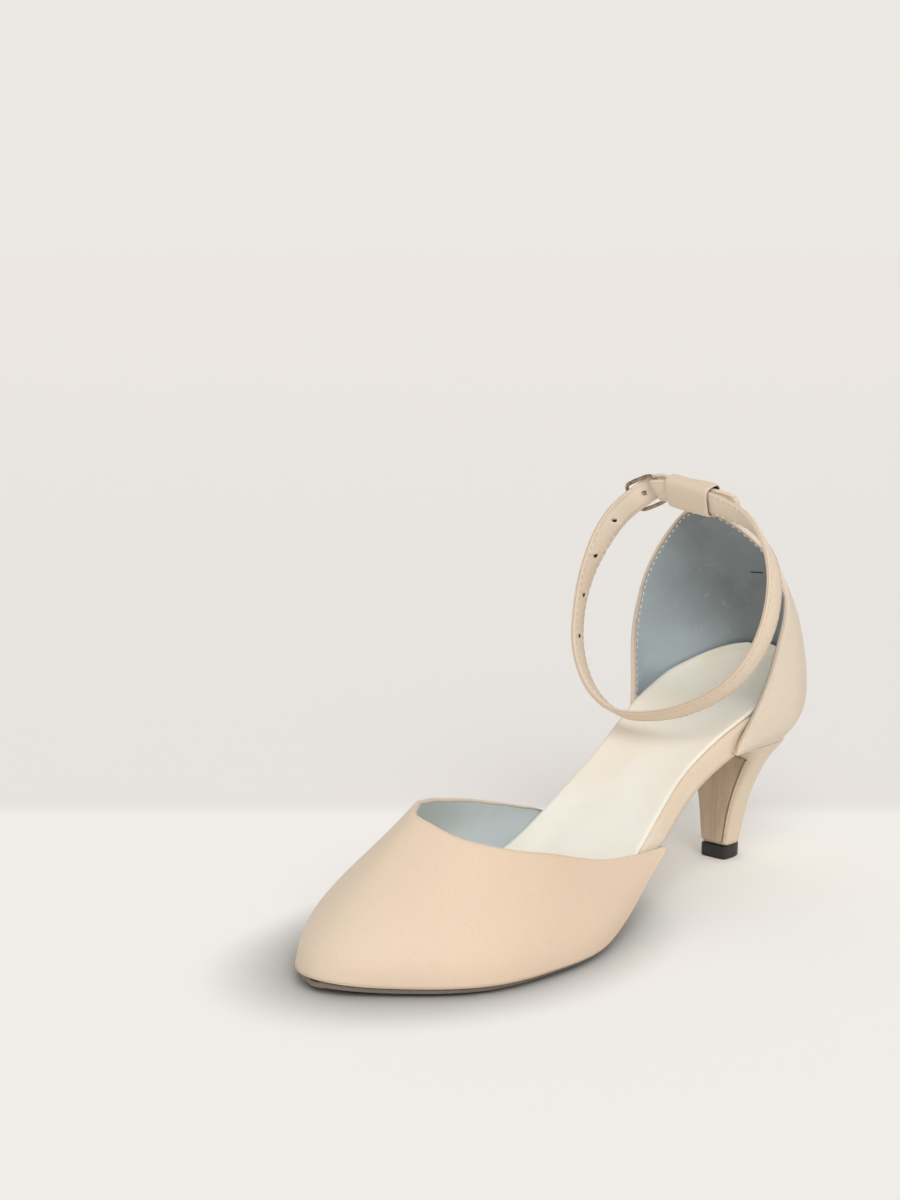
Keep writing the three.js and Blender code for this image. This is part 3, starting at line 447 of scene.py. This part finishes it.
THREAD = (252, 247, 236)
THREAD_SHADE = (232, 222, 204)
thread_finish, wire = new_finish("stitch_thread")
twist = wire.noise(wire.place(), 5200, 2, 0.5)
colour = (twist * 0.5).tint(shade(THREAD), shade(THREAD_SHADE))
close_finish(wire, colour, 0.7, twist, 0.00004, 0.7)


def sew(name, rows, pitch, long, thick):
    """Rows of stitches on a surface. Each row is a list of (place, normal), each stitch "long"."""
    bm = bmesh.new()
    for row in rows:
        walked = 0.0
        due = pitch / 2
        for (a, normal), (b, _) in zip(row, row[1:]):
            step = (b - a).length
            while step > 0 and walked + step >= due:
                spot = a.lerp(b, (due - walked) / step)
                along = (b - a).normalized()
                up = (normal - along * normal.dot(along)).normalized()
                turn = Matrix((along, up.cross(along), up)).transposed().to_4x4()
                size = Matrix.Diagonal((long / 2, thick, thick * 0.5, 1))
                lift = Matrix.Translation(spot + up * thick * 0.15)
                bmesh.ops.create_icosphere(bm, subdivisions=1, radius=1.0, matrix=lift @ turn @ size)
                due += pitch
            walked += step
    mesh = bpy.data.meshes.new(name)
    bm.to_mesh(mesh)
    bm.free()
    mesh.shade_smooth()
    piece = bpy.data.objects.new(name, mesh)
    scene.collection.objects.link(piece)
    dress(piece, thread_finish, None)


rim_row = row_along(counter.data, near_rim, counter_middle, STITCHES_IN)
sew("counter_stitches", [rim_row], 0.0024, 0.0015, 0.00026)

# ---------------------------------------------------------------------------------------------
# Insole board. A shaped board with a padded waist; beige leather is wrapped over its edge and shows
# as a band between vamp and heel.
BAND_LEATHER = ((233, 211, 185), (236, 222, 202))
board_finish, wire = new_finish("board_edge_finish")
colour, roughness, height = leather_looks(wire, *BAND_LEATHER)
close_finish(wire, colour, roughness, height, GRAIN_DEPTH, 0.5, Specular_IOR_Level=LEATHER_GLOSS)
board, _ = loose_copy("insole_board", "insole_board_cover", 2, crease=0.55, sharp=45)
dress(board, board_finish, "insole_board")

# ---------------------------------------------------------------------------------------------
# Sock. A cream sheet of soft smooth synthetic leather glued on the board, with a long shallow hollow
# where the foot's weight has pressed it along the inner side of the waist.
SOCK_CREAM = (253, 249, 237)
SOCK_SHADE = (248, 240, 223)
HOLLOW_MIDDLE = Vector((-0.045, -0.007))
HOLLOW_HALF_LONG = 0.038
HOLLOW_HALF_WIDE = 0.005
HOLLOW_DEEP = 0.0007
sock_finish, wire = new_finish("sock_finish")
place = wire.place()
drift = wire.noise(place, 22, 3, 0.5, 0.4)
grain = wire.cells(place, 1500, 1.0)
wrinkle = wire.noise(place, 190, 3, 0.6, 1.0)
colour = drift.between(0.35, 0.65).tint(shade(SOCK_CREAM), shade(SOCK_SHADE))
height = grain * -0.4 + wrinkle * 0.5 + drift * 2.0
close_finish(wire, colour, 0.42 + drift * 0.12, height, 0.00010, 0.5, Specular_IOR_Level=0.45)
sock, _ = loose_copy("sock", "sock_sheet", 2, crease=0.7, sharp=45)
for v in sock.data.vertices:
    if v.normal.z > 0.4:
        along = (v.co.x - HOLLOW_MIDDLE.x) / HOLLOW_HALF_LONG
        across = (v.co.y - HOLLOW_MIDDLE.y) / HOLLOW_HALF_WIDE
        v.co.z -= HOLLOW_DEEP * max(0.0, 1 - along * along) ** 2 * math.exp(-(across ** 2))
dress(sock, sock_finish, "sock")

# ---------------------------------------------------------------------------------------------
# Outsole. A thin dark rubber sheet cemented under the shoe, with a fine moulded tread across the
# forefoot, scuffed pale where it meets the floor.
RUBBER = (136, 124, 113)
RUBBER_DUSTY = (147, 135, 125)
RUBBER_SCUFFED = (160, 149, 138)
TREAD_WAVE = 0.0006
TREAD_FROM = -0.045
sole_finish, wire = new_finish("outsole_finish")
place = wire.place()
along, across, low = [place.axis(number) for number in range(3)]
ribs = wire.maths("SINE", (along + wire.maths("SINE", across * 700) * TREAD_WAVE) * 2600)
tread = ribs.between(-0.3, 0.5) * along.between(TREAD_FROM, TREAD_FROM + 0.005)
scuff = wire.noise(place, 120, 4, 0.65, 0.8).between(0.5, 0.72) * (1 - low.between(0.0, 0.002))
dust = wire.noise(place, 900, 2, 0.6)
colour = (dust * 0.5).tint(shade(RUBBER), shade(RUBBER_DUSTY))
colour = (scuff * 0.5).tint(colour, shade(RUBBER_SCUFFED))
close_finish(wire, colour, 0.62 + dust * 0.15 + scuff * 0.1, tread * 1.5 + dust * 0.4, 0.0002, 0.6)
outsole, _ = loose_copy("outsole", "outsole_sheet", 2, crease=0.8, sharp=45)
dress(outsole, sole_finish, "outsole")

# ---------------------------------------------------------------------------------------------
# Heel. A moulded plastic heel wrapped in the upper's leather, joined down the front by a separate
# breast panel whose edge shows as a fine raised line.
HEEL_LEATHER = ((226, 204, 178), (230, 213, 190))
# The breast panel's leather is painted darker than the heel's, as painted shade under the seat.
BREAST_LEATHER_SHADED = ((202, 176, 149), (214, 192, 167))
BREAST_STREAKS_SHADE = (158, 131, 108)
BREAST_GROOVE = (112, 88, 70)
BREAST_PIPING_HIGHLIGHT = (238, 222, 200)
heel_finish, wire = new_finish("heel_finish")
colour, roughness, height = leather_looks(wire, *HEEL_LEATHER)
close_finish(wire, colour, roughness - 0.06, height, 0.0001, 0.45, Specular_IOR_Level=0.45)
heel, _ = loose_copy("heel", "heel_cover", 2, crease=0.7, sharp=45)
dress(heel, heel_finish, "heel")

breast_finish, wire = new_finish("breast_finish")
place = wire.place()
outer, high = place.axis(1).between(0.001, 0.002), place.axis(2)
streak = wire.noise(wire.vector("MULTIPLY", place, (1, 1, 0.16)), 330, 3, 0.55, 0.3).between(0.35, 0.7)
colour, roughness, height = leather_looks(wire, *BREAST_LEATHER_SHADED)
# Vertical darker streaks, and painted shade darkening the panel upwards towards the seat.
colour = (streak * 0.30 + high.between(0.012, 0.040) * 0.30).tint(colour, shade(BREAST_STREAKS_SHADE))
edge = wire.mark("from_edge") * outer
groove = edge.between(0.35, 0.6) * (1 - edge.between(0.8, 1.15))
piping = (1 - edge.between(0.3, 0.5)) * outer
colour = (groove * 0.65).tint(colour, shade(BREAST_GROOVE))
# The raised piping's pale line is a painted highlight.
colour = (piping * 0.5).tint(colour, shade(BREAST_PIPING_HIGHLIGHT))
height = height + piping * 5 - groove * 3
close_finish(wire, colour, roughness - 0.16 - streak * 0.04, height, 0.0002, 0.6, Specular_IOR_Level=0.5)
breast, breast_edges = loose_copy("heel_breast_cover", "heel_breast_panel", 3, crease=0.6, sharp=45)


def upright(a, b, lean):
    return abs(a.z - b.z) > 0.75 * (a - b).length


write_marks(breast.data, from_edge=rim_distance(breast.data, breast_edges, upright))
dress(breast, breast_finish, "heel_breast_cover")

# ---------------------------------------------------------------------------------------------
# Top piece. The hard black rubber block that the heel stands on, with moulded side faces.
BLACK_RUBBER = (36, 33, 32)
BLACK_RUBBER_SPECK = (58, 54, 51)
tip_finish, wire = new_finish("top_piece_finish")
speck = wire.noise(wire.place(), 1500, 3, 0.6)
colour = (speck.between(0.4, 0.8) * 0.4).tint(shade(BLACK_RUBBER), shade(BLACK_RUBBER_SPECK))
close_finish(wire, colour, 0.38 + speck * 0.2, speck, 0.0001, 0.4)
tip, _ = loose_copy("heel_tip", "heel_top_piece", 2, crease=0.96, sharp=30)
dress(tip, tip_finish, "heel_tip")

# ---------------------------------------------------------------------------------------------
# Ankle strap. Two layers of leather folded and stitched near both edges, punched with five holes,
# hooked round the buckle's bar, run once round the ankle and back through the loop.
STRAP_LEATHER = ((233, 212, 190), (232, 217, 198))
STRAP_GROOVE = (205, 176, 152)
STRAP_EDGE = (221, 197, 168)
STRAP_SEAM = (176, 150, 124)
HOLE_EDGE_SHADE = (66, 50, 40)
SHOE_LENGTH = 0.232
RING_WIDTH = 0.0774
RING_DROP = 0.071
RING_LEAN = 0.27
RING_TOP = Vector((-0.4586 * SHOE_LENGTH, 0.0, 0.1254))
STRAP_HALF = 0.004
STRAP_SURFACE = 0.00085
HOLE_FIRST = -0.0195
HOLE_PITCH = 0.0141
HOLE_COUNT = 5
STITCH_ROW = 3.1
STITCHES_FROM = 0.0105
STITCHES_SHORT = 0.0475
STITCH_STEP = 0.0008
PER_ROW = 60
# Out and down of the ring's middle line, as shares of its half width and drop, and its twist in
# degrees, from the loop's middle round by the outer side, as in the solids.
RING_ROWS = (
    (0.000, 0.000, 56), (0.375, 0.030, 52), (0.680, 0.084, 35), (0.935, 0.223, 12),
    (1.026, 0.400, 2), (0.972, 0.603, 0), (0.762, 0.780, -3), (0.362, 0.923, -8),
    (-0.026, 0.988, -10), (-0.362, 0.998, -12), (-0.672, 0.920, -14), (-0.899, 0.752, -15),
    (-0.972, 0.526, -14), (-0.915, 0.322, 6), (-0.724, 0.118, 38), (-0.388, -0.008, 50),
)
ring_spots = []
for out, down, _ in RING_ROWS:
    down *= RING_DROP
    ring_spots.append(RING_TOP + Vector((RING_LEAN * down, out * RING_WIDTH / 2, -down)))
RING_STEPS = PER_ROW * len(RING_ROWS)
ring_face = Vector((1, 0, RING_LEAN)).normalized()


def ring_place(turn):
    """A point on the ring's smooth middle line, "turn" in rows."""
    i = int(turn)
    t = turn - i
    a, b, c, d = [ring_spots[(i + k) % len(RING_ROWS)] for k in (-1, 0, 1, 2)]
    p, q, r = [math.sqrt((v - u).length) for u, v in ((a, b), (b, c), (c, d))]
    lead = ((b - a) / p - (c - a) / (p + q) + (c - b) / q) * q
    tail = ((c - b) / q - (d - b) / (q + r) + (d - c) / r) * q
    rest = c - b
    return b + lead * t + (rest * 3 - lead * 2 - tail) * t ** 2 + (lead + tail - rest * 2) * t ** 3


ring_steps = [ring_place(k / PER_ROW) for k in range(RING_STEPS)] + [ring_place(0)]
ring_walk = [0.0]
for a, b in zip(ring_steps, ring_steps[1:]):
    ring_walk.append(ring_walk[-1] + (b - a).length)
RING_LENGTH = ring_walk[-1]


def on_ring(at, across=0.0, lift=0.0):
    """Place and outward direction on the strap, "at" metres from the loop by the outer side."""
    at %= RING_LENGTH
    k = min(bisect.bisect_right(ring_walk, at) - 1, RING_STEPS - 1)
    turn = (k + (at - ring_walk[k]) / (ring_walk[k + 1] - ring_walk[k])) / PER_ROW
    spot = ring_place(turn)
    before = turn - 0.01 if turn > 0.01 else turn - 0.01 + len(RING_ROWS)
    along = (ring_place(turn + 0.01) - ring_place(before)).normalized()
    i = int(turn)
    t = turn - i
    a, b, c, d = [RING_ROWS[(i + n) % len(RING_ROWS)][2] for n in (-1, 0, 1, 2)]
    twist = math.radians(b + 0.5 * t * (c - a + t * (2 * a - 5 * b + 4 * c - d + t * (3 * (b - c) + d - a))))
    out = ring_face.cross(along).normalized() * math.cos(twist) - ring_face * math.sin(twist)
    out = (out - along * out.dot(along)).normalized()
    wide = along.cross(out)
    return spot + wide * across + out * lift, out


strap_finish, wire = new_finish("strap_finish")
colour, roughness, height = leather_looks(wire, *STRAP_LEATHER)
hole = 1 - wire.mark("from_hole").between(0.66, 0.95)
edge = wire.mark("at_side")
seam = 1 - wire.maths("ABSOLUTE", wire.mark("through")).between(0.05, 0.22)
row = 1 - wire.maths("ABSOLUTE", wire.mark("off_middle") - STITCH_ROW).between(0.1, 0.42)
colour = (row * 0.35).tint(colour, shade(STRAP_GROOVE))
colour = (edge * 0.35).tint(colour, shade(STRAP_EDGE))
colour = (edge * seam * 0.4).tint(colour, shade(STRAP_SEAM))
# The holes' walls are painted dark brown: their raw cut edge, and painted shade inside them.
colour = hole.tint(colour, shade(HOLE_EDGE_SHADE))
height = height - seam * edge * 1.5 - hole * 2 - row * 1.6
close_finish(wire, colour, roughness + hole * 0.2, height, GRAIN_DEPTH, 0.5,
             Specular_IOR_Level=LEATHER_GLOSS)
strap, _ = loose_copy("ankle_strap", "ankle_strap_leather", 0)
bm = bmesh.new()
bm.from_mesh(strap.data)
long_edges = [edge for edge in bm.edges if edge.calc_length() > 0.0022]
bmesh.ops.subdivide_edges(bm, edges=long_edges, cuts=1, use_grid_fill=True)
bmesh.ops.triangulate(bm, faces=[f for f in bm.faces if len(f.verts) > 4])
bm.to_mesh(strap.data)
bm.free()
holes = [on_ring(HOLE_FIRST - k * HOLE_PITCH) for k in range(HOLE_COUNT)]
ring_tree = KDTree(RING_STEPS)
for k in range(RING_STEPS):
    ring_tree.insert(ring_steps[k], k)
ring_tree.balance()
from_hole = []
at_side = []
through = []
off_middle = []
for v in strap.data.vertices:
    gaps = []
    for spot, out in holes:
        d = v.co - spot
        gaps.append((d - out * d.dot(out)).length / MM if abs(d.dot(out)) < 0.004 else 9.0)
    from_hole.append(min(gaps))
    spot, out = on_ring(ring_walk[ring_tree.find(v.co)[1]])
    lift = (v.co - spot).dot(out)
    away = v.co - spot - out * lift
    at_side.append(float(away.length > STRAP_HALF - 0.00012 and abs(lift) < 0.0012))
    through.append(lift / MM)
    off_middle.append(away.length / MM)
write_marks(strap.data, from_hole=from_hole, at_side=at_side, through=through, off_middle=off_middle)
strap.data.shade_smooth()
strap.data.set_sharp_from_angle(angle=math.radians(62))
dress(strap, strap_finish, "ankle_strap")
steps = int((RING_LENGTH - STITCHES_SHORT) / STITCH_STEP)
ats = [STITCHES_FROM + STITCH_STEP * k for k in range(steps)]
for face, name, long, thick in (
    (-1, "strap_stitches_inside", 0.0015, 0.00022),
    (1, "strap_stitches_outside", 0.0012, 0.00012),
):
    rows = []
    for side in (-1, 1):
        places = [on_ring(at, side * STITCH_ROW * MM, face * STRAP_SURFACE) for at in ats]
        rows.append([(spot, out * face) for spot, out in places])
    sew(name, rows, 0.0025, long, thick)

# ---------------------------------------------------------------------------------------------
# Strap loop. A tube of the same leather sewn to the counter's top, round the strap and its end.
LOOP_LEATHER = ((224, 204, 180), (230, 214, 193))
LOOP_INSIDE_SHADE = (74, 60, 50)
STRAP_LAYERS_MIDDLE = 0.001
loop_finish, wire = new_finish("loop_finish")
colour, roughness, height = leather_looks(wire, *LOOP_LEATHER)
# The loop's inner face is painted dark brown: its flesh side, and painted shade inside the tube.
colour = wire.mark("inside").tint(colour, shade(LOOP_INSIDE_SHADE))
close_finish(wire, colour, roughness, height, GRAIN_DEPTH, 0.6, Specular_IOR_Level=LEATHER_GLOSS)
loop, _ = loose_copy("strap_loop", "strap_loop_leather", 2, crease=0.3, sharp=55)
loop_inside = []
for v in loop.data.vertices:
    middle, _ = on_ring(ring_walk[ring_tree.find(v.co)[1]], 0.0, STRAP_LAYERS_MIDDLE)
    gap = v.co - middle
    loop_inside.append(float(v.normal.dot(gap) < -0.2 * gap.length))
write_marks(loop.data, inside=loop_inside)
dress(loop, loop_finish, "strap_loop")

# ---------------------------------------------------------------------------------------------
# Buckle. A small pale-gold plated wire frame and its prong, polished and a little worn.
PLATING = (178, 160, 134)
PLATING_WORN = (112, 98, 84)
metal_finish, wire = new_finish("buckle_finish")
wear = wire.noise(wire.place(), 420, 3, 0.6)
colour = wear.between(0.4, 0.75).tint(shade(PLATING), shade(PLATING_WORN))
close_finish(wire, colour, 0.14 + wear * 0.16, wear, 0.00005, 0.3, Metallic=1.0)
buckle, _ = loose_copy("buckle_frame", "buckle_wire", 2, crease=0.0, sharp=170)
dress(buckle, metal_finish, "buckle_frame")
prong, _ = loose_copy("buckle_prong", "buckle_tongue", 2, crease=0.3, sharp=60)
dress(prong, metal_finish, "buckle_prong")

# ---------------------------------------------------------------------------------------------
# Floor and light. A pale warm floor, a shade greyer behind the shoe and with a soft shadow painted
# on it round the toe, with wide soft light from in front and from behind and a bright even surround.
FLOOR_NEAR = (252, 251, 248)
FLOOR_FAR = (242, 239, 236)
FLOOR_AT_WALL = (237, 234, 231)
FLOOR_PAINTED_SHADOW = (126, 125, 124)
WALL = (236, 232, 227)
TOE_SHADE_MIDDLE_X = 0.008
TOE_SHADE_HALF = (0.072, 0.052)
SURROUND = (240, 239, 238)
SURROUND_STRENGTH = 0.6
FLOOR_HALF = 12.0
WALL_HALF = 6.0
WALL_AWAY = 4.0
WINDOW_LIGHT = (1.0, 0.99, 0.975)


def set_stage(name, half, place, finish):
    """A square sheet of the room around the shoe."""
    bm = bmesh.new()
    bmesh.ops.create_grid(bm, x_segments=1, y_segments=1, size=half, matrix=place)
    mesh = bpy.data.meshes.new(name)
    bm.to_mesh(mesh)
    bm.free()
    sheet = bpy.data.objects.new(name, mesh)
    scene.collection.objects.link(sheet)
    mesh.materials.append(finish)


level = Vector((to_eye.x, to_eye.y, 0)).normalized()
floor_finish, wire = new_finish("floor_finish")
place = wire.place()
turned = wire.vector("DOT_PRODUCT", place, level, out=1)
behind = 1 - turned.between(-0.162, -0.138)
from_toe = wire.vector("ADD", place, (-TOE_SHADE_MIDDLE_X, 0.0, 0.0))
from_toe = wire.vector("MULTIPLY", from_toe, (1 / TOE_SHADE_HALF[0], 1 / TOE_SHADE_HALF[1], 0.0))
# A painted shadow on the floor round the toe.
toe_painted_shadow = (1 - wire.vector("LENGTH", from_toe, out=1).between(0.66, 1.26)) * 0.6
colour = behind.tint(shade(FLOOR_NEAR), shade(FLOOR_FAR))
colour = (1 - turned.between(-3.9, -1.9)).tint(colour, shade(FLOOR_AT_WALL))
close_finish(wire, toe_painted_shadow.tint(colour, shade(FLOOR_PAINTED_SHADOW)), 1.0, Specular_IOR_Level=0.0)
set_stage("floor", FLOOR_HALF, Matrix(), floor_finish)

# A lit paper wall stands far behind the shoe.
wall_finish, wire = new_finish("wall_finish")
close_finish(wire, (0, 0, 0, 1), 1.0, Emission_Color=shade(WALL), Emission_Strength=1.0,
             Specular_IOR_Level=0.0)
facing_eye = Matrix((to_right, Vector((0, 0, 1)), level)).transposed().to_4x4()
set_stage("wall", WALL_HALF, Matrix.Translation(level * -WALL_AWAY) @ facing_eye, wall_finish)

world = bpy.data.worlds.new("surround")
scene.world = world
world.use_nodes = True
world.node_tree.nodes["Background"].inputs["Color"].default_value = shade(SURROUND)
world.node_tree.nodes["Background"].inputs["Strength"].default_value = SURROUND_STRENGTH


def soft_window(name, toward, power, wide):
    """A wide soft light from far away, on the side "toward"."""
    light = bpy.data.lights.new(name, "SUN")
    light.angle = math.radians(wide)
    light.energy = power
    light.color = WINDOW_LIGHT
    lamp = bpy.data.objects.new(name, light)
    lamp.rotation_mode = "QUATERNION"
    lamp.rotation_quaternion = toward.to_track_quat("Z", "Y")
    scene.collection.objects.link(lamp)


soft_window("window_front", Vector((0, 0, 0.9)) + level + to_right * 0.2, 1.5, 45)
soft_window("window_back", Vector((0, 0, 0.65)) - level + to_right * 0.3, 2.05, 26)
